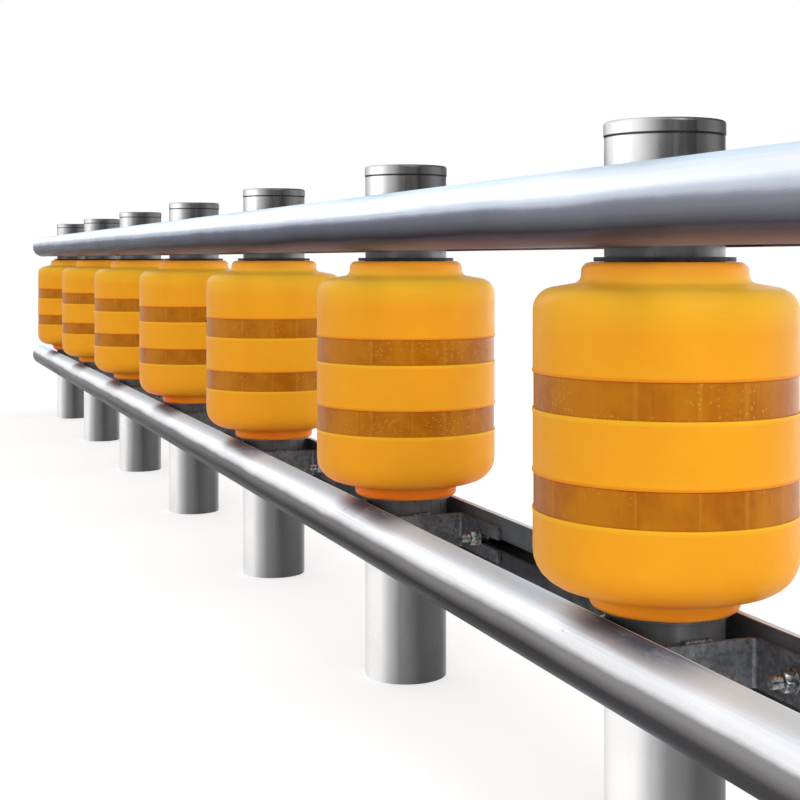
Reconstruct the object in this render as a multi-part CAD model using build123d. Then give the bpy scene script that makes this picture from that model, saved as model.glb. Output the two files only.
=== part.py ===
from build123d import *
import os

# Roller crash barrier section: round steel posts in a row, each with a rotating roller,
# between two pairs of slotted steel rails. Millimetres, +Z up, +X along the row, the road on -Y.
# The origin is the centre of the row at ground level, which is the middle post's foot.

# Row
bay_count = 6
bay_length = 700.0
rail_overhang = 400.0

# Posts and their caps
post_diameter = 114.0
post_wall = 4.5
cap_rise = 43.0
cap_rim_height = 14.0
cap_overlap = 0.8
cap_edge_radius = 3.0
cap_seam_radius = 1.2
cap_spigot_depth = 24.0
cap_spigot_clearance = 0.3

# Rails: a round front on a flat back with a slot along its middle
rail_radius = 38.0
rail_wall = 4.0
rail_edge_radius = 1.5
rail_slot_width = 16.0
rail_post_gap = 7.0
lower_rail_axis = 209.0

# Brackets: a bent plate beside each post that reaches along both rails
bracket_plate = 5.0
bracket_height = 46.0
bracket_reach = 126.0
bracket_bend_radius = 9.0
bracket_weld_gap = 0.3
bracket_slot_width = 14.0
bracket_bolt_distance = 64.0

# Rollers, the rings that they rest on and the washers above them
roller_diameter = 250.0
roller_height = 326.5
roller_bore_clearance = 2.5
roller_end_play = 0.3
seat_ring_diameter = 126.0
seat_ring_height = 3.0
seat_ring_rail_gap = 3.2
washer_diameter = 134.0
washer_height = 4.4
washer_rail_gap = 9.3
ring_fit_clearance = 0.1

# Shape of a roller's upper end
upper_collar_diameter = 158.0
upper_collar_height = 19.0
upper_rim_radius = 11.0
upper_neck_radius = 8.0
upper_shoulder_drop = 8.0
upper_shoulder_radius = 22.0

# Shape of a roller's lower end, which is rounder and has a smaller collar
lower_collar_diameter = 142.0
lower_collar_height = 14.0
lower_rim_radius = 5.0
lower_neck_radius = 8.0
lower_shoulder_drop = 12.0
lower_shoulder_radius = 34.0

# Reflective bands in shallow grooves round each roller
band_height = 33.0
band_thickness = 1.2
band_side_clearance = 0.4
band_groove_depth = 2.0
band_bed_clearance = 0.1
upper_band_drop = 105.0
band_spacing = 62.0

# Worked out from the sizes above
post_radius = post_diameter / 2
rail_back = post_radius + rail_post_gap
lower_rail_top = lower_rail_axis + rail_radius
seat_ring_bottom = lower_rail_top + seat_ring_rail_gap
roller_bottom = seat_ring_bottom + seat_ring_height + roller_end_play
roller_top = roller_bottom + roller_height
washer_bottom = roller_top + roller_end_play
upper_rail_axis = washer_bottom + washer_height + washer_rail_gap + rail_radius
post_top = upper_rail_axis + rail_radius + cap_rise - cap_rim_height
row_length = bay_count * bay_length
rail_length = row_length + 2 * rail_overhang
roller_radius = roller_diameter / 2
post_places = [index * bay_length - row_length / 2 for index in range(bay_count + 1)]


def ring(outer_radius, inner_radius, height):
    """A flat ring that stands on z = 0."""
    section = Circle(outer_radius) - Circle(inner_radius)
    return extrude(section, height)


def make_post():
    """A round tube from the ground to the underside of its cap."""
    return ring(post_radius, post_radius - post_wall, post_top)


def make_cap():
    """A flat cap with a rounded edge on the post's end, and a spigot inside the tube."""
    rim = extrude(Circle(post_radius + cap_overlap), cap_rim_height)
    rim = fillet(rim.edges().group_by(Axis.Z)[-1], cap_edge_radius)
    rim = fillet(rim.edges().group_by(Axis.Z)[0], cap_seam_radius)
    spigot_radius = post_radius - post_wall - cap_spigot_clearance
    spigot = Pos(0, 0, -cap_spigot_depth) * extrude(Circle(spigot_radius), cap_spigot_depth)
    return Pos(0, 0, post_top) * (rim + spigot)


def rail_section():
    """The rail's outline in its own plane: flat back on x = 0, round front towards +x."""
    half_disc = Circle(rail_radius) & Pos(rail_radius / 2, 0) * Rectangle(rail_radius, 2 * rail_radius)
    outline = fillet(half_disc.vertices(), rail_edge_radius)
    hollow = offset(outline, -rail_wall, kind=Kind.INTERSECTION)
    slot = Rectangle(4 * rail_wall, rail_slot_width)
    return outline - hollow - slot


def make_rail(side, axis_height):
    """A rail along the row, on the road side for side = -1 or behind the posts for side = 1."""
    plane = Plane(
        origin=(-rail_length / 2, side * rail_back, axis_height),
        x_dir=(0, side, 0),
        z_dir=(1, 0, 0),
    )
    return extrude(plane * rail_section(), rail_length, dir=(1, 0, 0))


def make_bracket(side, axis_height):
    """A plate bent to a U: its web crosses beside the post, its flanges lie on both rails' backs."""
    outside = Pos(bracket_reach / 2, 0) * Rectangle(bracket_reach, 2 * rail_back)
    outside = fillet(outside.vertices().group_by(Axis.X)[0], bracket_bend_radius)
    inner_reach = bracket_reach - bracket_plate
    inner_width = 2 * (rail_back - bracket_plate)
    inside = Pos(bracket_plate + inner_reach / 2, 0) * Rectangle(inner_reach, inner_width)
    inside = fillet(inside.vertices().group_by(Axis.X)[0], bracket_bend_radius - bracket_plate)
    bracket = extrude(outside - inside, bracket_height / 2, both=True)
    slot_length = bracket_reach - bracket_bolt_distance
    slot = Rectangle(slot_length, bracket_slot_width)
    slot = Pos(bracket_bolt_distance + slot_length / 2, 0) * slot + Pos(bracket_bolt_distance, 0) * Circle(
        bracket_slot_width / 2
    )
    bracket -= extrude(Plane.XZ * slot, 2 * rail_back, both=True)
    place = Pos(side * (post_radius + bracket_weld_gap), 0, axis_height)
    return place * (bracket if side > 0 else Rot(0, 0, 180) * bracket)


def groove_tops():
    """The height of the upper edge of each reflective band."""
    upper = roller_top - upper_band_drop
    return {"upper": upper, "lower": upper - band_height - band_spacing}


def roller_end(collar_diameter, collar_height, rim_radius, neck_radius, shoulder_drop, shoulder_radius):
    """The corner points and the radii of a roller's end, inwards along z from the end face."""
    return [
        ((collar_diameter / 2, 0), rim_radius),
        ((collar_diameter / 2, collar_height), neck_radius),
        ((roller_radius, collar_height + shoulder_drop), shoulder_radius),
    ]


def make_roller():
    """A hollow drum with a collar at each end and a groove for each band, turned about the post."""
    bore_radius = post_radius + roller_bore_clearance
    upper_end = roller_end(
        upper_collar_diameter,
        upper_collar_height,
        upper_rim_radius,
        upper_neck_radius,
        upper_shoulder_drop,
        upper_shoulder_radius,
    )
    lower_end = roller_end(
        lower_collar_diameter,
        lower_collar_height,
        lower_rim_radius,
        lower_neck_radius,
        lower_shoulder_drop,
        lower_shoulder_radius,
    )
    top = [((radius, roller_top - inward), bend) for (radius, inward), bend in upper_end]
    bottom = [((radius, roller_bottom + inward), bend) for (radius, inward), bend in reversed(lower_end)]
    corners = top + bottom
    points = [(bore_radius, roller_top)] + [point for point, _ in corners] + [(bore_radius, roller_bottom)]
    profile = make_face(Polyline(*points, close=True))
    for (radius, height), bend in corners:
        corner = profile.vertices().sort_by_distance((radius, height, 0))[0]
        profile = fillet(corner, bend)
    for edge_height in groove_tops().values():
        groove_height = band_height + 2 * band_side_clearance
        groove = Pos(roller_radius, edge_height - band_height / 2) * Rectangle(
            2 * band_groove_depth, groove_height
        )
        profile -= groove
    return revolve(Plane.XZ * profile, Axis.Z)


def make_band(top_height):
    """A thin reflective sleeve that lies in its groove."""
    inner_radius = roller_radius - band_groove_depth + band_bed_clearance
    band = ring(inner_radius + band_thickness, inner_radius, band_height)
    return Pos(0, 0, top_height - band_height) * band


def make_fitted_ring(diameter, height, bottom):
    """A ring that fits round a post."""
    return Pos(0, 0, bottom) * ring(diameter / 2, post_radius + ring_fit_clearance, height)


def along_row(piece):
    """One copy of a piece at each post."""
    return [Pos(place, 0, 0) * piece for place in post_places]


def save(name, solids):
    export_step(Compound(children=solids), f"parts/{name}.step")


os.makedirs("parts", exist_ok=True)

for number, post in enumerate(along_row(make_post()), start=1):
    save(f"post_{number}", [post])
save("post_caps", along_row(make_cap()))

for level, axis_height in (("lower", lower_rail_axis), ("upper", upper_rail_axis)):
    save(f"front_{level}_rail", [make_rail(-1, axis_height)])
    save(f"rear_{level}_rail", [make_rail(1, axis_height)])
    left_brackets = along_row(make_bracket(-1, axis_height))
    right_brackets = along_row(make_bracket(1, axis_height))
    save(f"{level}_brackets", left_brackets + right_brackets)

save("seat_rings", along_row(make_fitted_ring(seat_ring_diameter, seat_ring_height, seat_ring_bottom)))
save("washers", along_row(make_fitted_ring(washer_diameter, washer_height, washer_bottom)))

for number, roller in enumerate(along_row(make_roller()), start=1):
    save(f"roller_{number}", [roller])
for level, top_height in groove_tops().items():
    for number, band in enumerate(along_row(make_band(top_height)), start=1):
        save(f"{level}_band_{number}", [band])
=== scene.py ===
"""Looks of a roller crash barrier: finishes, bolts, weld beads, film tabs and the drums' fine shape."""

import math

import bmesh
import bpy
from mathutils import Matrix, Vector


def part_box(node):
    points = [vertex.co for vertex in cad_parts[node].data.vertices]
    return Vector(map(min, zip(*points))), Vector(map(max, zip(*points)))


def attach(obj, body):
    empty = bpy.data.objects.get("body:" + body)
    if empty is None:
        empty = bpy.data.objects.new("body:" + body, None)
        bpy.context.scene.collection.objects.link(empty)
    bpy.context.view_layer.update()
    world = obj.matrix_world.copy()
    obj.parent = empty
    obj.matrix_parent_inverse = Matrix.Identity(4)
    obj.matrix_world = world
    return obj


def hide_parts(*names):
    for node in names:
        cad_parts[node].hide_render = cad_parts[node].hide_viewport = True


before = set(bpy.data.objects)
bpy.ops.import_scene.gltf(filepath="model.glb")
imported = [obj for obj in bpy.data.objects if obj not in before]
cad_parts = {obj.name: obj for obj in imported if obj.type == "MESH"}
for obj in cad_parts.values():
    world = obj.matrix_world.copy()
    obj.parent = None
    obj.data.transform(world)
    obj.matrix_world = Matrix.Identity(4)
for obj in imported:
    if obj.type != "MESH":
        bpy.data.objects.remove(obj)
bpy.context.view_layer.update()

MM = 0.001

# The body that carries everything but the rollers
BARRIER = "barrier"

# A drum's two ends, each from its collar to its shoulder
UPPER_END = {
    "radius": 79 * MM,
    "height": 19 * MM,
    "rim": 11 * MM,
    "neck": 8 * MM,
    "drop": 8 * MM,
    "shoulder": 22 * MM,
}
LOWER_END = {
    "radius": 71 * MM,
    "height": 14 * MM,
    "rim": 5 * MM,
    "neck": 8 * MM,
    "drop": 12 * MM,
    "shoulder": 34 * MM,
}
BORE_CLEARANCE = 2.5 * MM
BORE_EDGE = 1.5 * MM
DRUM_SEGMENTS = 144

# Grooves for the bands, and the lip that stands out along each edge of a groove
GROOVE_DEPTH = 2 * MM
GROOVE_CORNER_RADIUS = 0.4 * MM
BAND_SIDE_CLEARANCE = 0.4 * MM
LIP_RISE = 0.8 * MM
LIP_WIDTH = 5 * MM
LIP_CREST_WIDTH = 2 * MM
LIP_EDGE_RADIUS = 0.8 * MM
LIP_CREST_RADIUS = 1.5 * MM
LIP_FOOT_RADIUS = 3 * MM

# Film tabs where the ends of a band overlap, with their angles on each roller in degrees
TAB_WIDTH = 16 * MM
TAB_THICKNESS = 0.5 * MM
TAB_MARGIN = 0.6 * MM
TAB_SEGMENTS = 6
TAB_ANGLES = {
    "upper": (-62, 140, -35, 20, -110, -48, -35),
    "lower": (-50, 75, -95, -30, 160, -58, -49),
}

# Bolts of the brackets, M12
BOLT_FROM_WEB = 64 * MM
WELD_GAP = 0.3 * MM
BRACKET_PLATE = 5 * MM
RAIL_WALL = 4 * MM
SHANK_RADIUS = 6 * MM
SHANK_SEGMENTS = 16
THREAD_DEPTH = 0.7 * MM
THREAD_PITCH = 1.75 * MM
THREAD_START = 8 * MM
THREAD_END = 25 * MM
THREAD_END_CHAMFER = 1.5 * MM
THREAD_LOOPS_A_TURN = 4
NUT_FLATS = 18 * MM
NUT_THICKNESS = 10.8 * MM
HEAD_THICKNESS = 7.5 * MM
HEX_SEGMENTS = 36
HEX_CHAMFER_SHARE = 0.6
WASHER_RADIUS = 12 * MM
WASHER_THICKNESS = 2.5 * MM
WASHER_EDGE = 0.4 * MM
WASHER_SEGMENTS = 28

# Weld beads between each bracket's web and its post; the shares are parts of the bead's radius
BEAD_RADIUS = 3.2 * MM
BEAD_SPREAD = 13 * MM
BEAD_SIDES = 8
BEAD_RIPPLE = 3 * MM
BEAD_LOOPS_A_RIPPLE = 4
BEAD_RIPPLE_SHARE = 0.14
BEAD_WAVER_SHARE = 0.05
BEAD_WAVER_STEP = 0.37
BEAD_END_SHARE = 0.55
BEAD_END_STEP = 0.15
BEAD_TURN_LOOPS = 2

# Where dirt and painted shade lie on a rail beneath each drum, along the row from each post, and where a
# line of painted shade and a painted highlight on the rim lie, outwards from the rail's flat back
DARK_PATCH_PAST_POST = 45 * MM
DARK_PATCH_SPREAD = 0.62
GRIME_AND_SHADE_CORE = 35 * MM
GRIME_AND_SHADE_REACH = 115 * MM
CREASE_SHADE_OUT = 4.2 * MM
RIM_HIGHLIGHT_OUT = 1.0 * MM

post_names = [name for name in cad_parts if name.startswith("post_") and name != "post_caps"]
numbers = range(1, len(post_names) + 1)
levels = ("lower", "upper")


def centre_of(node):
    low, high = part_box(node)
    return (low + high) / 2


post_places = {number: centre_of(f"post_{number}").x for number in numbers}
bay = post_places[2] - post_places[1]
post_low, post_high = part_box("post_1")
post_radius = (post_high.x - post_low.x) / 2
roller_low, roller_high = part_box("roller_1")
roller_radius = (roller_high.x - roller_low.x) / 2
rail_axis = {level: centre_of(f"front_{level}_rail").z for level in levels}
rail_low, rail_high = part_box("rear_lower_rail")
rail_back = rail_low.y
rail_half = (rail_high.z - rail_low.z) / 2
bracket_low, bracket_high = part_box("lower_brackets")
web_half = (bracket_high.z - bracket_low.z) / 2
flange_face = rail_back - BRACKET_PLATE
bolt_reach = post_radius + WELD_GAP + BOLT_FROM_WEB


def band_edges(level):
    low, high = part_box(f"{level}_band_1")
    return low.z, high.z


# Node helpers


class Shader:
    """A material's node tree, with short calls for the few nodes that these finishes use."""

    def __init__(self, name):
        self.material = bpy.data.materials.new(name)
        self.material.use_nodes = True
        self.nodes = self.material.node_tree.nodes
        self.links = self.material.node_tree.links
        self.surface = self.nodes["Principled BSDF"]
        self.place = self.nodes.new("ShaderNodeTexCoord").outputs["Object"]

    def set(self, **values):
        for name, value in values.items():
            self.feed(self.surface.inputs[name.replace("_", " ")], value)

    def feed(self, socket, value):
        if isinstance(value, bpy.types.NodeSocket):
            self.links.new(value, socket)
        elif value is not None:
            socket.default_value = value

    def math(self, operation, first, second=None, third=None):
        node = self.nodes.new("ShaderNodeMath")
        node.operation = operation
        for socket, value in zip(node.inputs, (first, second, third)):
            self.feed(socket, value)
        return node.outputs[0]

    def axes(self, vector=None):
        node = self.nodes.new("ShaderNodeSeparateXYZ")
        self.feed(node.inputs[0], vector or self.place)
        return node.outputs["X"], node.outputs["Y"], node.outputs["Z"]

    def vector(self, x=0.0, y=0.0, z=0.0):
        node = self.nodes.new("ShaderNodeCombineXYZ")
        for socket, value in zip(node.inputs, (x, y, z)):
            self.feed(socket, value)
        return node.outputs[0]

    def stretched(self, scale):
        node = self.nodes.new("ShaderNodeMapping")
        self.feed(node.inputs["Vector"], self.place)
        node.inputs["Scale"].default_value = scale
        return node.outputs[0]

    def noise(self, scale, detail=3.0, roughness=0.5, vector=None):
        node = self.nodes.new("ShaderNodeTexNoise")
        self.feed(node.inputs["Vector"], vector or self.place)
        node.inputs["Scale"].default_value = scale
        node.inputs["Detail"].default_value = detail
        node.inputs["Roughness"].default_value = roughness
        return node.outputs["Fac"]

    def cells(self, scale, feature="F1", output="Distance"):
        node = self.nodes.new("ShaderNodeTexVoronoi")
        node.feature = feature
        self.feed(node.inputs["Vector"], self.place)
        node.inputs["Scale"].default_value = scale
        return node.outputs[output]

    def band(self, value, low, high, bottom=0.0, top=1.0):
        """Carries value from low..high to bottom..top, smoothly, and holds it outside."""
        node = self.nodes.new("ShaderNodeMapRange")
        node.interpolation_type = "SMOOTHSTEP"
        for socket, setting in zip(node.inputs, (value, low, high, bottom, top)):
            self.feed(socket, setting)
        return node.outputs[0]

    def line(self, value, middle, core, reach, strength):
        """A soft line where value is middle: all its strength within core of it, none past reach."""
        away = self.math("ABSOLUTE", self.math("SUBTRACT", value, middle))
        return self.band(away, core, reach, strength, 0.0)

    def ramp(self, value, stops):
        """A run of colours along value, from (place, colour) stops in rising order."""
        node = self.nodes.new("ShaderNodeValToRGB")
        elements = node.color_ramp.elements
        elements[0].position, elements[1].position = stops[0][0], stops[-1][0]
        elements[0].color, elements[1].color = (*stops[0][1], 1), (*stops[-1][1], 1)
        for place, colour in stops[1:-1]:
            elements.new(place).color = (*colour, 1)
        self.feed(node.inputs["Fac"], value)
        return node.outputs["Color"]

    def mix(self, share, first, second, blend="MIX"):
        node = self.nodes.new("ShaderNodeMix")
        node.data_type = "RGBA"
        node.blend_type = blend
        self.feed(node.inputs["Factor"], share)
        for name, colour in (("A", first), ("B", second)):
            socket = [s for s in node.inputs if s.name == name and s.type == "RGBA"][0]
            self.feed(socket, colour if isinstance(colour, bpy.types.NodeSocket) else (*colour, 1.0))
        return [s for s in node.outputs if s.type == "RGBA"][0]

    def bump(self, height, distance, strength=1.0, normal=None):
        node = self.nodes.new("ShaderNodeBump")
        self.feed(node.inputs["Height"], height)
        node.inputs["Distance"].default_value = distance
        node.inputs["Strength"].default_value = strength
        self.feed(node.inputs["Normal"], normal)
        return node.outputs[0]

    def round_edges(self, radius):
        node = self.nodes.new("ShaderNodeBevel")
        node.samples = 4
        node.inputs["Radius"].default_value = radius
        return node.outputs[0]

    def from_post(self):
        """The distance along the row from the nearest post's axis, signed."""
        start = post_places[1] - bay / 2
        x = self.axes()[0]
        local = self.math("MODULO", self.math("SUBTRACT", x, start), bay)
        return self.math("SUBTRACT", local, bay / 2)

    def turns(self):
        """The angle round the nearest post, in turns from 0 to 1."""
        angle = self.math("ARCTAN2", self.axes()[1], self.from_post())
        return self.math("FRACT", self.math("MULTIPLY_ADD", angle, 1 / math.tau, 0.5))


# Foam and film

# Painted light and shade from a drum's lower end to its upper end: a painted highlight, yellower, on the
# upper shoulder and neck, and painted shade, more red, on both collars
FOAM_LIGHT_AND_SHADE_TONES = [
    (0.0, (0.97, 0.185, 0.012)),
    (0.055, (0.96, 0.205, 0.012)),
    (0.10, (0.92, 0.31, 0.012)),
    (0.16, (0.91, 0.355, 0.013)),
    (0.80, (0.91, 0.36, 0.014)),
    (0.88, (0.93, 0.48, 0.024)),
    (0.93, (1.0, 0.60, 0.05)),
    (0.965, (1.0, 0.46, 0.045)),
    (1.0, (1.0, 0.30, 0.025)),
]


def painted_groove_shade_and_highlight(shader, colour):
    """A line of painted shade, more red, above each band, and a lighter line of painted highlight below it.
    """
    z = shader.axes()[2]
    for level in levels:
        low, high = band_edges(level)
        shade_line_above = shader.line(z, middle=high + 1.6 * MM, core=0.78 * MM, reach=2.6 * MM, strength=0.6)
        colour = shader.mix(shade_line_above, colour, (0.80, 0.20, 0.008))
        highlight_line_below = shader.line(z, middle=low - 2.4 * MM, core=1.08 * MM, reach=3.6 * MM, strength=0.6)
        colour = shader.mix(highlight_line_below, colour, (0.95, 0.52, 0.02))
    return colour


def amber_foam():
    """Amber foam skin with a painted highlight on the upper shoulder and painted shade, more red, on both
    collars.
    """
    shader = Shader("amber_foam")
    broad = shader.noise(4.0, detail=2.0)
    mottled = shader.noise(38.0, detail=4.0, roughness=0.6)
    length = roller_high.z - roller_low.z
    height = shader.math("MULTIPLY_ADD", shader.axes()[2], 1 / length, -roller_low.z / length)
    height = shader.math("ADD", height, shader.math("MULTIPLY_ADD", broad, 0.05, -0.025))
    # The ramp paints highlight and shade by height
    colour = shader.ramp(height, FOAM_LIGHT_AND_SHADE_TONES)
    colour = shader.mix(shader.band(broad, 0.35, 0.65, 0.0, 0.5), colour, (0.91, 0.39, 0.014))
    colour = shader.mix(shader.band(mottled, 0.35, 0.75, 0.0, 0.22), colour, (0.94, 0.45, 0.018))
    specks = shader.band(shader.cells(140.0), 0.0, 0.055, 1.0, 0.0)
    colour = shader.mix(shader.math("MULTIPLY", specks, 0.2), colour, (0.6, 0.2, 0.02))
    colour = painted_groove_shade_and_highlight(shader, colour)
    rough = shader.band(shader.noise(60.0, detail=5.0), 0.3, 0.7, 0.36, 0.48)
    relief = shader.bump(shader.noise(900.0, detail=3.0), 0.0001, 0.3)
    relief = shader.bump(shader.noise(14.0, detail=2.0), 0.0016, 0.25, relief)
    shader.set(Base_Color=colour, Roughness=rough, Normal=relief, IOR=1.4, Specular_IOR_Level=0.14)
    return shader.material


def reflective_film():
    """Dark amber film over a prism mesh, with cloudy patches, upright streaks and a few bubbles."""
    shader = Shader("reflective_film")
    turns = shader.turns()
    z = shader.axes()[2]
    strip = shader.vector(shader.math("MULTIPLY", turns, 11.0), shader.math("MULTIPLY", z, 9.0))
    patches = shader.noise(1.0, detail=4.0, roughness=0.55, vector=strip)
    colour = shader.mix(shader.band(patches, 0.36, 0.64), (0.39, 0.105, 0.001), (0.52, 0.175, 0.002))
    mottled = shader.noise(90.0, detail=4.0, roughness=0.65)
    colour = shader.mix(shader.band(mottled, 0.35, 0.7, 0.0, 0.3), colour, (0.55, 0.20, 0.006))
    upright = shader.vector(shader.math("MULTIPLY", turns, 70.0), z)
    streak = shader.noise(1.0, detail=1.0, vector=upright)
    colour = shader.mix(shader.band(streak, 0.64, 0.72, 0.0, 0.3), colour, (0.62, 0.27, 0.02))
    where = shader.band(shader.noise(11.0, detail=1.0), 0.5, 0.6)
    bubbles = shader.math("MULTIPLY", shader.band(shader.cells(190.0), 0.2, 0.3, 1.0, 0.0), where)
    colour = shader.mix(shader.math("MULTIPLY", bubbles, 0.4), colour, (0.66, 0.36, 0.07))
    prisms = shader.band(shader.cells(700.0, feature="DISTANCE_TO_EDGE"), 0.0, 0.12)
    relief = shader.bump(prisms, 0.00005, 0.3)
    relief = shader.bump(bubbles, 0.0003, 0.6, relief)
    shader.set(Base_Color=colour, Roughness=0.34, Normal=relief, IOR=1.45, Specular_IOR_Level=0.14)
    return shader.material


# Rail steel

# Painted light and shade from a rail's underside to its top: a painted highlight along the top, painted
# shade below, and on the upper rails a painted reflection of the drums, reddish, at the underside
RAIL_LIGHT_AND_SHADE_TONES = {
    "upper": [
        (0.0, (0.34, 0.23, 0.22)),
        (0.06, (0.28, 0.19, 0.19)),
        (0.13, (0.16, 0.13, 0.145)),
        (0.21, (0.085, 0.08, 0.09)),
        (0.29, (0.135, 0.135, 0.15)),
        (0.38, (0.185, 0.185, 0.215)),
        (0.46, (0.22, 0.23, 0.265)),
        (0.50, (0.27, 0.28, 0.33)),
        (0.55, (0.50, 0.53, 0.60)),
        (0.62, (0.62, 0.67, 0.75)),
        (0.70, (0.86, 0.91, 0.96)),
        (0.80, (0.97, 0.98, 1.0)),
        (1.0, (0.98, 0.99, 1.0)),
    ],
    "lower": [
        (0.0, (0.11, 0.108, 0.11)),
        (0.20, (0.10, 0.098, 0.10)),
        (0.30, (0.095, 0.093, 0.095)),
        (0.38, (0.085, 0.083, 0.085)),
        (0.46, (0.17, 0.165, 0.17)),
        (0.54, (0.25, 0.245, 0.25)),
        (0.61, (0.27, 0.265, 0.27)),
        (0.69, (0.84, 0.83, 0.84)),
        (0.78, (0.98, 0.97, 0.98)),
        (0.92, (0.96, 0.96, 0.98)),
        (1.0, (0.95, 0.97, 1.0)),
    ],
}

# How metallic each level's rails are, and how strongly dirt with painted shade beneath the drums shows on
# them
RAIL_METAL = {"upper": 1.0, "lower": 0.9}
RAIL_GRIME_AND_SHADE = {"upper": 0.15, "lower": 1.0}


def grime_and_shade_beside_posts(shader, strength):
    """Dirt with painted shade beneath each drum, round a point past each post, that runs on further on the
    side away from the post.
    """
    past_patch_centre = shader.math("SUBTRACT", shader.from_post(), DARK_PATCH_PAST_POST)
    after = shader.math("MULTIPLY", past_patch_centre, DARK_PATCH_SPREAD)
    before = shader.math("MULTIPLY", past_patch_centre, -1.0)
    return shader.band(shader.math("MAXIMUM", after, before), GRIME_AND_SHADE_CORE, GRIME_AND_SHADE_REACH, strength, 0.0)


def rail_zones(shader, level):
    """The height across a rail, and from 0 to 1 how strongly each kind of wear, painted shade and painted
    highlight shows at a place.
    """
    y, z = shader.axes()[1:]
    patches = shader.noise(9.0, detail=4.0, roughness=0.6, vector=shader.stretched((0.6, 1.6, 1.6)))
    smudge = shader.noise(30.0, detail=6.0, roughness=0.75, vector=shader.stretched((0.5, 1.0, 1.0)))
    height = shader.math("MULTIPLY_ADD", z, 0.5 / rail_half, 0.5 - 0.5 * rail_axis[level] / rail_half)
    height = shader.math("ADD", height, shader.math("MULTIPLY_ADD", patches, 0.12, -0.06))
    out = shader.math("SUBTRACT", shader.math("ABSOLUTE", y), rail_back)
    inner_half = shader.band(out, 0.3 * rail_half, rail_half, 1.0, 0.0)
    bloom = shader.math("MULTIPLY", inner_half, shader.band(y, -rail_back, 0.0, 1.0, 0.0))
    beside_post = grime_and_shade_beside_posts(shader, RAIL_GRIME_AND_SHADE[level])
    grime_shade = shader.math("MULTIPLY", beside_post, bloom)
    # A dark line of painted shade in the crease beside each post
    crease_shade = shader.line(out, CREASE_SHADE_OUT, core=0.8 * MM, reach=2.4 * MM, strength=0.5)
    # The rim line is a painted highlight along the rail's top inner edge
    rim = shader.line(out, RIM_HIGHLIGHT_OUT, core=0.6 * MM, reach=1.5 * MM, strength=0.75)
    specks = shader.band(shader.cells(26.0), 0.0, 0.07, 1.0, 0.0)
    return {
        "height": height,
        "smudge": smudge,
        "inner_half": inner_half,
        "chalk": shader.math("SUBTRACT", inner_half, bloom),
        "grime_shade": shader.math("MULTIPLY", grime_shade, shader.band(smudge, 0.25, 0.5, 0.55, 1.0)),
        "crease_shade": shader.math("MULTIPLY", crease_shade, beside_post),
        "rim": shader.math("MULTIPLY", rim, shader.band(height, 0.8, 0.9)),
        "flat_back": shader.band(out, 0.1 * MM, 0.6 * MM, 0.85, 0.0),
        "specks": shader.math("MULTIPLY", shader.math("MULTIPLY", specks, beside_post), 0.8),
    }


def rail_colour(shader, level, zones, drawn):
    # The ramp paints highlight, shade and the drums' reflection across the rail
    colour = shader.ramp(zones["height"], RAIL_LIGHT_AND_SHADE_TONES[level])
    colour = shader.mix(shader.band(drawn, 0.4, 0.75, 0.0, 0.3), colour, (0.72, 0.72, 0.75), "MULTIPLY")
    bluer = shader.mix(1.0, colour, (0.74, 0.88, 1.0), "MULTIPLY")
    colour = shader.mix(zones["inner_half"], colour, bluer)
    # Dirt with painted shade beneath each drum
    colour = shader.mix(zones["grime_shade"], colour, (0.07, 0.10, 0.15))
    # Painted shade in the crease
    colour = shader.mix(zones["crease_shade"], colour, (0.06, 0.065, 0.075))
    # Painted highlight on the rim
    colour = shader.mix(zones["rim"], colour, (0.92, 0.93, 0.96))
    # Painted shade on the flat back, mottled by smudges
    shaded_back = shader.mix(shader.band(zones["smudge"], 0.3, 0.7), (0.05, 0.052, 0.056), (0.14, 0.143, 0.15))
    colour = shader.mix(zones["flat_back"], colour, shaded_back)
    return shader.mix(zones["specks"], colour, (0.05, 0.05, 0.055))


def rail_steel(level):
    """Drawn galvanised steel with a painted highlight along the top, painted shade on the underside and flat
    back, and dirt with painted shade beneath each drum.
    """
    shader = Shader(f"rail_steel_{level}")
    drawn = shader.noise(1.0, detail=5.0, roughness=0.65, vector=shader.stretched((3.0, 420.0, 420.0)))
    zones = rail_zones(shader, level)
    colour = rail_colour(shader, level, zones, drawn)
    rough = shader.math("MULTIPLY_ADD", zones["inner_half"], 0.22, shader.band(drawn, 0.3, 0.7, 0.2, 0.34))
    metal = shader.math("MULTIPLY_ADD", zones["inner_half"], -0.45, RAIL_METAL[level])
    metal = shader.math("MULTIPLY_ADD", zones["chalk"], -0.4, metal)
    metal = shader.math("MULTIPLY_ADD", zones["grime_shade"], -0.4, metal)
    metal = shader.math("MAXIMUM", metal, zones["flat_back"])
    relief = shader.bump(drawn, 0.0002, 0.3, shader.round_edges(1.2 * MM))
    edge_tint = shader.mix(0.22, colour, (1.0, 1.0, 1.0))
    shader.set(Base_Color=colour, Metallic=metal, Roughness=rough, Normal=relief, Specular_Tint=edge_tint)
    return shader.material


# Post steel

# Painted light and shade from a post's far side round to its road side: above and below the rails a painted
# highlight on the road side, and painted shade between the rails' levels
POST_LIGHT_AND_SHADE_TONES = [
    (0.0, (0.36, 0.36, 0.367)),
    (0.05, (0.31, 0.31, 0.316)),
    (0.11, (0.15, 0.15, 0.153)),
    (0.17, (0.095, 0.095, 0.097)),
    (0.38, (0.09, 0.09, 0.092)),
    (0.50, (0.09, 0.09, 0.092)),
    (0.61, (0.16, 0.16, 0.162)),
    (0.74, (0.22, 0.22, 0.225)),
    (0.85, (0.52, 0.52, 0.525)),
    (0.92, (0.90, 0.90, 0.90)),
    (1.0, (0.98, 0.98, 0.98)),
]
SHADED_POST_TONES = [
    (0.0, (0.24, 0.24, 0.246)),
    (0.30, (0.18, 0.18, 0.184)),
    (0.55, (0.12, 0.12, 0.122)),
    (0.80, (0.17, 0.17, 0.17)),
    (1.0, (0.05, 0.05, 0.049)),
]


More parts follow.
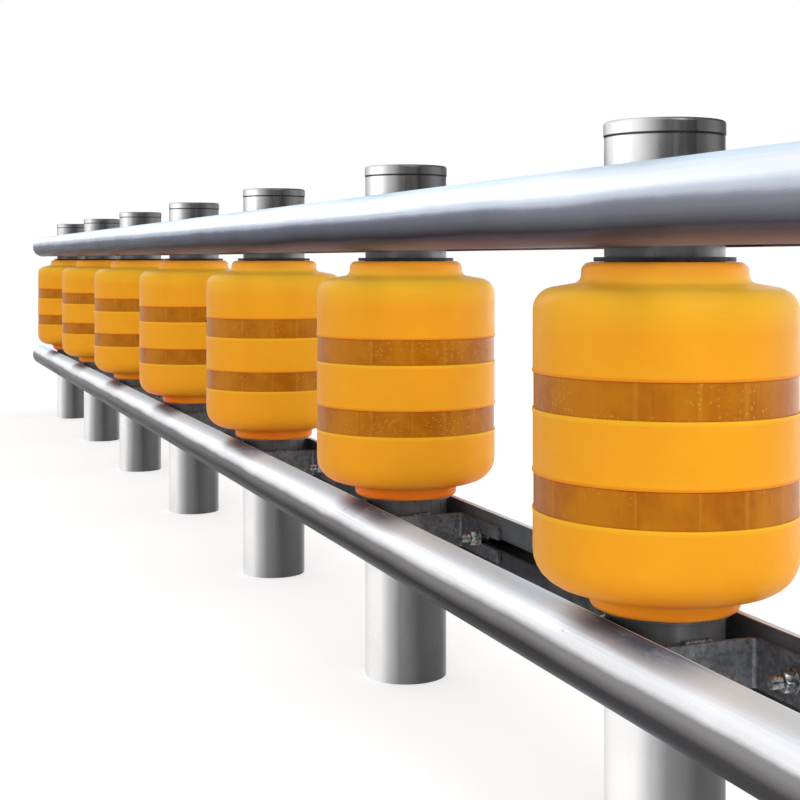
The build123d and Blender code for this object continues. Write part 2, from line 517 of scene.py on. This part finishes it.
def post_steel(name):
    """Grey coated steel with a painted highlight on its road side, and painted shade between the rails'
    levels where rails and drums shade it.
    """
    shader = Shader(name)
    y, z = shader.axes()[1:]
    grain = shader.noise(1.0, detail=4.0, vector=shader.stretched((160.0, 160.0, 14.0)))
    patches = shader.noise(12.0, detail=4.0, roughness=0.6)
    towards_road = shader.math("MULTIPLY_ADD", y, -0.5 / post_radius, 0.5)
    towards_road = shader.math("ADD", towards_road, shader.math("MULTIPLY_ADD", patches, 0.08, -0.04))
    above = shader.band(z, rail_axis["upper"] - rail_half, rail_axis["upper"])
    below = shader.band(z, rail_axis["lower"] - rail_half, rail_axis["lower"], 1.0, 0.0)
    lit_zone = shader.math("ADD", above, below)
    shaded_tones = shader.ramp(towards_road, SHADED_POST_TONES)
    # Painted highlight and shade round the post, with painted shade between the rails' levels
    colour = shader.mix(lit_zone, shaded_tones, shader.ramp(towards_road, POST_LIGHT_AND_SHADE_TONES))
    colour = shader.mix(shader.band(patches, 0.3, 0.7, 0.0, 0.4), colour, (0.72, 0.72, 0.72), "MULTIPLY")
    # Painted shade in the seam where the cap meets the post
    seam_shade = shader.line(z, post_high.z, core=0.7 * MM, reach=1.7 * MM, strength=0.9)
    colour = shader.mix(seam_shade, colour, (0.03, 0.03, 0.03))
    rough = shader.band(grain, 0.3, 0.7, 0.26, 0.38)
    relief = shader.bump(grain, 0.00015, 0.3, shader.round_edges(1.0 * MM))
    metal = shader.math("MULTIPLY_ADD", lit_zone, 0.45, 0.4)
    edge_share = shader.math("MULTIPLY_ADD", below, 0.4, 0.4)
    edge_share = shader.math("MULTIPLY_ADD", above, -0.35, edge_share)
    edge_tint = shader.mix(edge_share, (0.1, 0.1, 0.1), (1.0, 1.0, 1.0))
    shader.set(Base_Color=colour, Metallic=metal, Roughness=rough, Normal=relief, Specular_Tint=edge_tint)
    return shader.material


# Finishes of the small pieces


def bracket_steel():
    """Galvanised plate with spangle, soft worn edges and dark stains."""
    shader = Shader("bracket_steel")
    spangle = shader.axes(shader.cells(190.0, output="Color"))[0]
    fine = shader.noise(260.0, detail=5.0, roughness=0.7)
    grey = shader.math("MULTIPLY_ADD", spangle, 0.25, shader.math("MULTIPLY", fine, 0.75))
    colour = shader.mix(shader.band(grey, 0.3, 0.7), (0.12, 0.127, 0.138), (0.25, 0.262, 0.285))
    stains = shader.noise(24.0, detail=5.0, roughness=0.65)
    colour = shader.mix(shader.band(stains, 0.42, 0.7, 0.0, 0.7), colour, (0.045, 0.048, 0.053))
    rough = shader.band(stains, 0.3, 0.7, 0.36, 0.6)
    relief = shader.bump(fine, 0.0004, 0.5, shader.round_edges(1.6 * MM))
    shader.set(Base_Color=colour, Metallic=0.7, Roughness=rough, Normal=relief)
    return shader.material


def bolt_steel():
    shader = Shader("bolt_steel")
    worn = shader.noise(240.0, detail=4.0)
    colour = shader.mix(shader.band(worn, 0.35, 0.65), (0.16, 0.16, 0.165), (0.42, 0.42, 0.43))
    rough = shader.band(worn, 0.3, 0.7, 0.25, 0.42)
    shader.set(Base_Color=colour, Metallic=0.95, Roughness=rough, Normal=shader.bump(worn, 0.0001, 0.3))
    return shader.material


def weld_steel():
    shader = Shader("weld_steel")
    burnt = shader.noise(150.0, detail=4.0)
    colour = shader.mix(shader.band(burnt, 0.35, 0.65), (0.075, 0.08, 0.085), (0.2, 0.21, 0.22))
    shader.set(Base_Color=colour, Metallic=0.7, Roughness=0.5, Normal=shader.bump(burnt, 0.0003, 0.5))
    return shader.material


def black_rubber():
    shader = Shader("black_rubber")
    dust = shader.noise(70.0, detail=5.0)
    colour = shader.mix(shader.band(dust, 0.4, 0.75), (0.012, 0.012, 0.013), (0.03, 0.029, 0.028))
    rough = shader.band(dust, 0.3, 0.7, 0.5, 0.7)
    relief = shader.bump(shader.noise(500.0), 0.0001, 0.4)
    shader.set(Base_Color=colour, Roughness=rough, Normal=relief, Specular_IOR_Level=0.25)
    return shader.material


foam = amber_foam()
film = reflective_film()
rail_finish = {level: rail_steel(level) for level in levels}
post_finish = post_steel("post_steel")
cap_finish = post_steel("cap_steel")
bracket_finish = bracket_steel()
bolt_finish = bolt_steel()
weld_finish = weld_steel()
rubber = black_rubber()


# Mesh helpers

# Steps in a corner's arc, and the largest share of a side that an arc may take
ARC_STEPS = 6
ARC_SHARE = 0.49


def rounded_path(corners):
    """Points of a closed outline in the (r, z) plane, each corner turned into an arc of its radius."""
    points = []
    count = len(corners)
    for index, (r, z, radius) in enumerate(corners):
        here = Vector((r, z))
        before = Vector(corners[index - 1][:2]) - here
        after = Vector(corners[(index + 1) % count][:2]) - here
        half = before.angle(after) / 2
        reach = min(radius / math.tan(half), ARC_SHARE * before.length, ARC_SHARE * after.length)
        bend = reach * math.tan(half)
        middle = here + (before.normalized() + after.normalized()).normalized() * bend / math.sin(half)
        start = here + before.normalized() * reach - middle
        end = here + after.normalized() * reach - middle
        turn = start.angle_signed(end)
        for step in range(ARC_STEPS + 1):
            spoke = start.copy()
            spoke.rotate(Matrix.Rotation(-turn * step / ARC_STEPS, 2))
            points.append(middle + spoke)
    return points


def skin(builder, loops, joined=False):
    """A surface through loops of points: the last loop joins the first, or else both ends are closed."""
    rows = [[builder.verts.new(point) for point in loop] for loop in loops]
    pairs = list(zip(rows, rows[1:]))
    if joined:
        pairs.append((rows[-1], rows[0]))
    for first, second in pairs:
        for index in range(len(first)):
            after = (index + 1) % len(first)
            builder.faces.new((first[index], first[after], second[after], second[index]))
    if not joined:
        builder.faces.new(reversed(rows[0]))
        builder.faces.new(rows[-1])


def new_piece(name, builder, material, body, sharp_degrees=40):
    """A mesh piece that rides on a body, smooth except at its sharp edges."""
    bmesh.ops.recalc_face_normals(builder, faces=builder.faces)
    mesh = bpy.data.meshes.new(name)
    builder.to_mesh(mesh)
    builder.free()
    mesh.shade_smooth()
    mesh.set_sharp_from_angle(angle=math.radians(sharp_degrees))
    mesh.materials.append(material)
    piece = bpy.data.objects.new(name, mesh)
    bpy.context.scene.collection.objects.link(piece)
    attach(piece, body)
    return piece


def turned(outline, centre_x, angle):
    """The (r, z) outline, swung round a vertical axis on the row."""
    return [(centre_x + p.x * math.cos(angle), p.x * math.sin(angle), p.y) for p in outline]


# Drums: the turned shape with soft lips beside each band


def drum_end(shape, face, inwards):
    """Corners of a drum's end from its bore to its shoulder; inwards is -1 at the top and 1 below."""
    neck = face + inwards * shape["height"]
    return [
        (post_radius + BORE_CLEARANCE, face, BORE_EDGE),
        (shape["radius"], face, shape["rim"]),
        (shape["radius"], neck, shape["neck"]),
        (roller_radius, neck + inwards * shape["drop"], shape["shoulder"]),
    ]


def groove(level):
    """Corners of a band's groove and its two lips, from the top down."""
    low, high = band_edges(level)
    high += BAND_SIDE_CLEARANCE
    low -= BAND_SIDE_CLEARANCE
    lip = roller_radius + LIP_RISE
    floor = roller_radius - GROOVE_DEPTH
    return [
        (roller_radius, high + LIP_WIDTH, LIP_FOOT_RADIUS),
        (lip, high + LIP_CREST_WIDTH, LIP_CREST_RADIUS),
        (lip, high, LIP_EDGE_RADIUS),
        (floor, high, GROOVE_CORNER_RADIUS),
        (floor, low, GROOVE_CORNER_RADIUS),
        (lip, low, LIP_EDGE_RADIUS),
        (lip, low - LIP_CREST_WIDTH, LIP_CREST_RADIUS),
        (roller_radius, low - LIP_WIDTH, LIP_FOOT_RADIUS),
    ]


drum_path = rounded_path(
    drum_end(UPPER_END, roller_high.z, -1)
    + groove("upper")
    + groove("lower")
    + list(reversed(drum_end(LOWER_END, roller_low.z, 1)))
)
drum_turns = [math.tau * index / DRUM_SEGMENTS for index in range(DRUM_SEGMENTS)]
for number in numbers:
    builder = bmesh.new()
    skin(builder, [turned(drum_path, post_places[number], angle) for angle in drum_turns], joined=True)
    drum = new_piece(f"drum_{number}", builder, foam, f"roller_{number}_body")
    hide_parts(f"roller_{number}")


# Film tabs: the overlap of each band's ends, at another angle on each roller


def film_tab(builder, centre_x, level, first_angle):
    low, high = band_edges(level)
    band_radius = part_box(f"{level}_band_1")[1].y
    inner, outer = band_radius - TAB_THICKNESS / 2, band_radius + TAB_THICKNESS
    bottom, top = low + TAB_MARGIN, high - TAB_MARGIN
    outline = [Vector(corner) for corner in ((inner, bottom), (outer, bottom), (outer, top), (inner, top))]
    step = TAB_WIDTH / band_radius / TAB_SEGMENTS
    skin(builder, [turned(outline, centre_x, first_angle + step * n) for n in range(TAB_SEGMENTS + 1)])


for number in numbers:
    builder = bmesh.new()
    for level, angles in TAB_ANGLES.items():
        film_tab(builder, post_places[number], level, math.radians(angles[number - 1]))
    new_piece(f"film_tabs_{number}", builder, film, f"roller_{number}_body")


# Bolts: a head in the rail's hollow, a shank through both slots, a washer, a nut and the thread's end


def bolt_loop(spot, reach, radius_at, count):
    """A loop round a bolt, reach in from the flange's inner face; radius_at gives the radius at an angle."""
    x, side, z = spot
    y = side * (flange_face - reach)
    loop = []
    for index in range(count):
        angle = math.tau * index / count
        radius = radius_at(angle)
        loop.append((x + radius * math.cos(angle), y, z + radius * math.sin(angle)))
    return loop


def circle(radius):
    """One radius at every angle."""
    return lambda angle: radius


def hexagon(limit):
    """The radius of the nut's hexagon, cut back to a round limit, as a function of the angle."""
    sixth = math.tau / 6
    return lambda angle: min(limit, NUT_FLATS / 2 / math.cos((angle % sixth) - sixth / 2))


def thread_radius(reach):
    """The radius of the thread at a reach along the bolt, as a function of the angle."""
    turn = reach / THREAD_PITCH
    limit = SHANK_RADIUS - max(0, reach - THREAD_END + THREAD_END_CHAMFER)

    def radius_at(angle):
        phase = (turn - angle / math.tau) % 1
        ridge = 1 - abs(2 * phase - 1)
        return min(SHANK_RADIUS - THREAD_DEPTH * ridge, limit)

    return radius_at


def hex_block(builder, spot, start, end):
    """A nut or head between two reaches, chamfered at both ends to the circle in its hexagon."""
    corner = NUT_FLATS / 2 / math.cos(math.tau / 12)
    chamfer = HEX_CHAMFER_SHARE * (corner - NUT_FLATS / 2)
    stations = (
        (start, NUT_FLATS / 2),
        (start + chamfer, corner),
        (end - chamfer, corner),
        (end, NUT_FLATS / 2),
    )
    skin(builder, [bolt_loop(spot, reach, hexagon(limit), HEX_SEGMENTS) for reach, limit in stations])


def bolt(builder, spot):
    """A whole bolt at spot, which is (x, side, z); side is -1 on the road side and 1 on the far side."""
    rail_inside = -(BRACKET_PLATE + RAIL_WALL)
    washer = (
        (0, WASHER_RADIUS - WASHER_EDGE),
        (WASHER_EDGE, WASHER_RADIUS),
        (WASHER_THICKNESS - WASHER_EDGE, WASHER_RADIUS),
        (WASHER_THICKNESS, WASHER_RADIUS - WASHER_EDGE),
    )
    skin(builder, [bolt_loop(spot, reach, circle(radius), WASHER_SEGMENTS) for reach, radius in washer])
    hex_block(builder, spot, WASHER_THICKNESS, WASHER_THICKNESS + NUT_THICKNESS)
    hex_block(builder, spot, rail_inside - HEAD_THICKNESS, rail_inside)
    shank = (rail_inside, THREAD_START)
    skin(builder, [bolt_loop(spot, reach, circle(SHANK_RADIUS), SHANK_SEGMENTS) for reach in shank])
    length = THREAD_END - THREAD_START
    count = round(length / THREAD_PITCH * THREAD_LOOPS_A_TURN)
    thread = [THREAD_START + length * index / count for index in range(count + 1)]
    skin(builder, [bolt_loop(spot, reach, thread_radius(reach), SHANK_SEGMENTS) for reach in thread])


for level in levels:
    builder = bmesh.new()
    for number in numbers:
        for along in (-1, 1):
            for side in (-1, 1):
                bolt(builder, (post_places[number] + along * bolt_reach, side, rail_axis[level]))
    new_piece(f"{level}_bolts", builder, bolt_finish, BARRIER, sharp_degrees=32)


# Weld beads: up one side of each bracket's web, over its top and down the other side


def bead_path(x, z, along):
    """Points along a bead, with the direction of travel at each."""
    web_back = x + along * (post_radius + WELD_GAP)
    bottom, top = z - web_half + BEAD_RADIUS, z + web_half
    corners = [
        Vector((web_back, -BEAD_SPREAD, bottom)),
        Vector((web_back, -BEAD_SPREAD, top)),
        Vector((web_back, BEAD_SPREAD, top)),
        Vector((web_back, BEAD_SPREAD, bottom)),
    ]
    step = BEAD_RIPPLE / BEAD_LOOPS_A_RIPPLE
    points = []
    for start, end in zip(corners, corners[1:]):
        count = round((end - start).length / step)
        direction = (end - start).normalized()
        points += [(start + direction * step * n, direction) for n in range(count)]
    points.append((corners[-1], (corners[-1] - corners[-2]).normalized()))
    return points


def bead_radius(index, last):
    """The bead's radius at a loop: ripples, a slow waver, and a taper at both ends."""
    ripple = BEAD_RIPPLE_SHARE * math.sin(math.tau * index / BEAD_LOOPS_A_RIPPLE)
    waver = BEAD_WAVER_SHARE * math.sin(index * BEAD_WAVER_STEP)
    taper = min(1, BEAD_END_SHARE + BEAD_END_STEP * min(index, last - index))
    return BEAD_RADIUS * (1 + ripple + waver) * taper


def bead(builder, x, z, along):
    points = bead_path(x, z, along)
    across = Vector((1, 0, 0))
    loops = []
    for index, (point, direction) in enumerate(points):
        before = points[max(0, index - BEAD_TURN_LOOPS)][1]
        upright = (direction + before).normalized().cross(across)
        radius = bead_radius(index, len(points) - 1)
        loop = []
        for side in range(BEAD_SIDES):
            angle = math.tau * side / BEAD_SIDES
            loop.append(point + (across * math.cos(angle) + upright * math.sin(angle)) * radius)
        loops.append(loop)
    skin(builder, loops)


for level in levels:
    builder = bmesh.new()
    for number in numbers:
        for along in (-1, 1):
            bead(builder, post_places[number], rail_axis[level], along)
    new_piece(f"{level}_welds", builder, weld_finish, BARRIER, sharp_degrees=60)


# Carried-over nodes


def finish_node(name, material, sharp_degrees=35):
    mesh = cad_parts[name].data
    mesh.materials.clear()
    mesh.materials.append(material)
    mesh.shade_smooth()
    mesh.set_sharp_from_angle(angle=math.radians(sharp_degrees))


for number in numbers:
    finish_node(f"post_{number}", post_finish)
    for level in levels:
        finish_node(f"{level}_band_{number}", film)
finish_node("post_caps", cap_finish)
for level in levels:
    finish_node(f"front_{level}_rail", rail_finish[level])
    finish_node(f"rear_{level}_rail", rail_finish[level])
    finish_node(f"{level}_brackets", bracket_finish)
finish_node("seat_rings", post_finish)
finish_node("washers", rubber)


# Studio

# The photograph's frame and horizon in pixels, and where its camera stands from the nearest post
PHOTO_SIZE = 800
FOCAL_PIXELS = 1433.7
HORIZON_ROW = 259.5
CAMERA_PAST_POST = 1191.9 * MM
CAMERA_FROM_ROW = 710.8 * MM
CAMERA_HEIGHT = 582.4 * MM
CAMERA_TURN = math.radians(20.36)
CAMERA_SIGHT = 100
SENSOR = 36.0

# The floor's size in metres, its lift towards white in the picture, and the world's light on the object
FLOOR_SIZE = 400
FLOOR_LIFT = 0.42
DIFFUSE_WORLD = 0.6


def add_object(name, data, place, facing, axis):
    """An object of the studio whose axis faces along a direction."""
    added = bpy.data.objects.new(name, data)
    added.location = place
    added.rotation_euler = Vector(facing).to_track_quat(axis, "Y").to_euler()
    bpy.context.scene.collection.objects.link(added)
    return added


def flat_panel(name, width, height, place, aim, material):
    """A plain panel of the studio that faces a point."""
    builder = bmesh.new()
    bmesh.ops.create_grid(builder, x_segments=1, y_segments=1, size=0.5)
    mesh = bpy.data.meshes.new(name)
    builder.to_mesh(mesh)
    builder.free()
    mesh.materials.append(material)
    panel = add_object(name, mesh, place, Vector(aim) - Vector(place), "Z")
    panel.scale = (width, height, 1)
    return panel


def seen_in_picture(nodes, links):
    """Light Path's answer to whether the camera, a reflection or a clear material looks at a surface."""
    path = nodes.new("ShaderNodeLightPath")
    seen = path.outputs["Is Camera Ray"]
    for name in ("Is Glossy Ray", "Is Transmission Ray"):
        either = nodes.new("ShaderNodeMath")
        either.operation = "MAXIMUM"
        links.new(seen, either.inputs[0])
        links.new(path.outputs[name], either.inputs[1])
        seen = either.outputs[0]
    return seen


def floor_finish():
    """A pale floor that is lifted to white only in the picture and keeps its shadow."""
    shader = Shader("studio_floor")
    seen = seen_in_picture(shader.nodes, shader.links)
    lift = shader.math("MULTIPLY", seen, FLOOR_LIFT)
    shader.set(Base_Color=(0.9, 0.9, 0.9, 1.0), Roughness=0.9, Specular_IOR_Level=0.0)
    shader.set(Emission_Color=(1.0, 1.0, 1.0, 1.0), Emission_Strength=lift)
    return shader.material


def card_finish(name, tone):
    shader = Shader(name)
    shader.set(Base_Color=(0, 0, 0, 1), Specular_IOR_Level=0.0, Roughness=1.0)
    shader.set(Emission_Color=(tone, tone, tone, 1), Emission_Strength=1.0)
    return shader.material


def flag_card(name, width, height, place, aim, tone):
    """A plain card beyond the picture that only reflections see."""
    card = flat_panel(name, width, height, place, aim, card_finish(name, tone))
    card.visible_camera = False
    card.visible_diffuse = False
    card.visible_shadow = False


def soft_light(name, width, height, place, aim, power):
    data = bpy.data.lights.new(name, "AREA")
    data.shape = "RECTANGLE"
    data.size, data.size_y = width, height
    data.energy = power
    lamp = add_object(name, data, place, Vector(aim) - Vector(place), "-Z")
    lamp.visible_camera = False


def soft_sun(spread_degrees, came_from, strength):
    """A broad sun that lights surfaces but isn't mirrored in them."""
    data = bpy.data.lights.new("soft_sun", "SUN")
    data.angle = math.radians(spread_degrees)
    data.energy = strength
    lamp = add_object("soft_sun", data, (0, 0, 0), came_from, "Z")
    lamp.visible_glossy = False


def add_camera():
    """The photograph's camera, level and turned towards the row; the shift sets its horizon."""
    data = bpy.data.cameras.new("camera")
    data.sensor_width = SENSOR
    data.lens = FOCAL_PIXELS / PHOTO_SIZE * SENSOR
    data.shift_y = -(PHOTO_SIZE / 2 - HORIZON_ROW) / PHOTO_SIZE
    data.clip_end = CAMERA_SIGHT
    camera = bpy.data.objects.new("camera", data)
    camera.location = (max(post_places.values()) + CAMERA_PAST_POST, -CAMERA_FROM_ROW, CAMERA_HEIGHT)
    camera.rotation_euler = (math.pi / 2, 0, math.pi / 2 - CAMERA_TURN)
    bpy.context.scene.collection.objects.link(camera)
    bpy.context.scene.camera = camera


def light_world():
    """A white world in the picture that lights the object more softly."""
    world = bpy.data.worlds.new("studio_world")
    world.use_nodes = True
    bpy.context.scene.world = world
    nodes, links = world.node_tree.nodes, world.node_tree.links
    background = nodes["Background"]
    background.inputs["Color"].default_value = (1, 1, 1, 1)
    strength = nodes.new("ShaderNodeMapRange")
    strength.inputs["To Min"].default_value = DIFFUSE_WORLD
    links.new(seen_in_picture(nodes, links), strength.inputs["Value"])
    links.new(strength.outputs["Result"], background.inputs["Strength"])


add_camera()
flat_panel("studio_floor", FLOOR_SIZE, FLOOR_SIZE, place=(0, 0, 0), aim=(0, 0, 1), material=floor_finish())
flag_card("dark_card", 7, 2.6, place=(6.5, -0.5, 1.3), aim=(0, 0, 1.3), tone=0.18)
flag_card("bright_card", 12, 5, place=(-12, 0, 4.8), aim=(0, 0, 0.6), tone=1.7)
soft_sun(spread_degrees=40, came_from=(0.9, -0.55, 0.35), strength=0.75)
soft_light("along_row", 0.9, 0.9, place=(4.9, 0.1, 2.4), aim=(2.0, 0, 0.5), power=30)
soft_light("road_side", 3.9, 0.4, place=(-0.25, -3.6, 0.85), aim=(-0.25, 0, 0.6), power=8)
soft_light("far_side", 7, 2, place=(0.8, 3.6, 0.9), aim=(0.8, 0, 0.45), power=62)
light_world()

bpy.context.scene.view_settings.view_transform = "Standard"
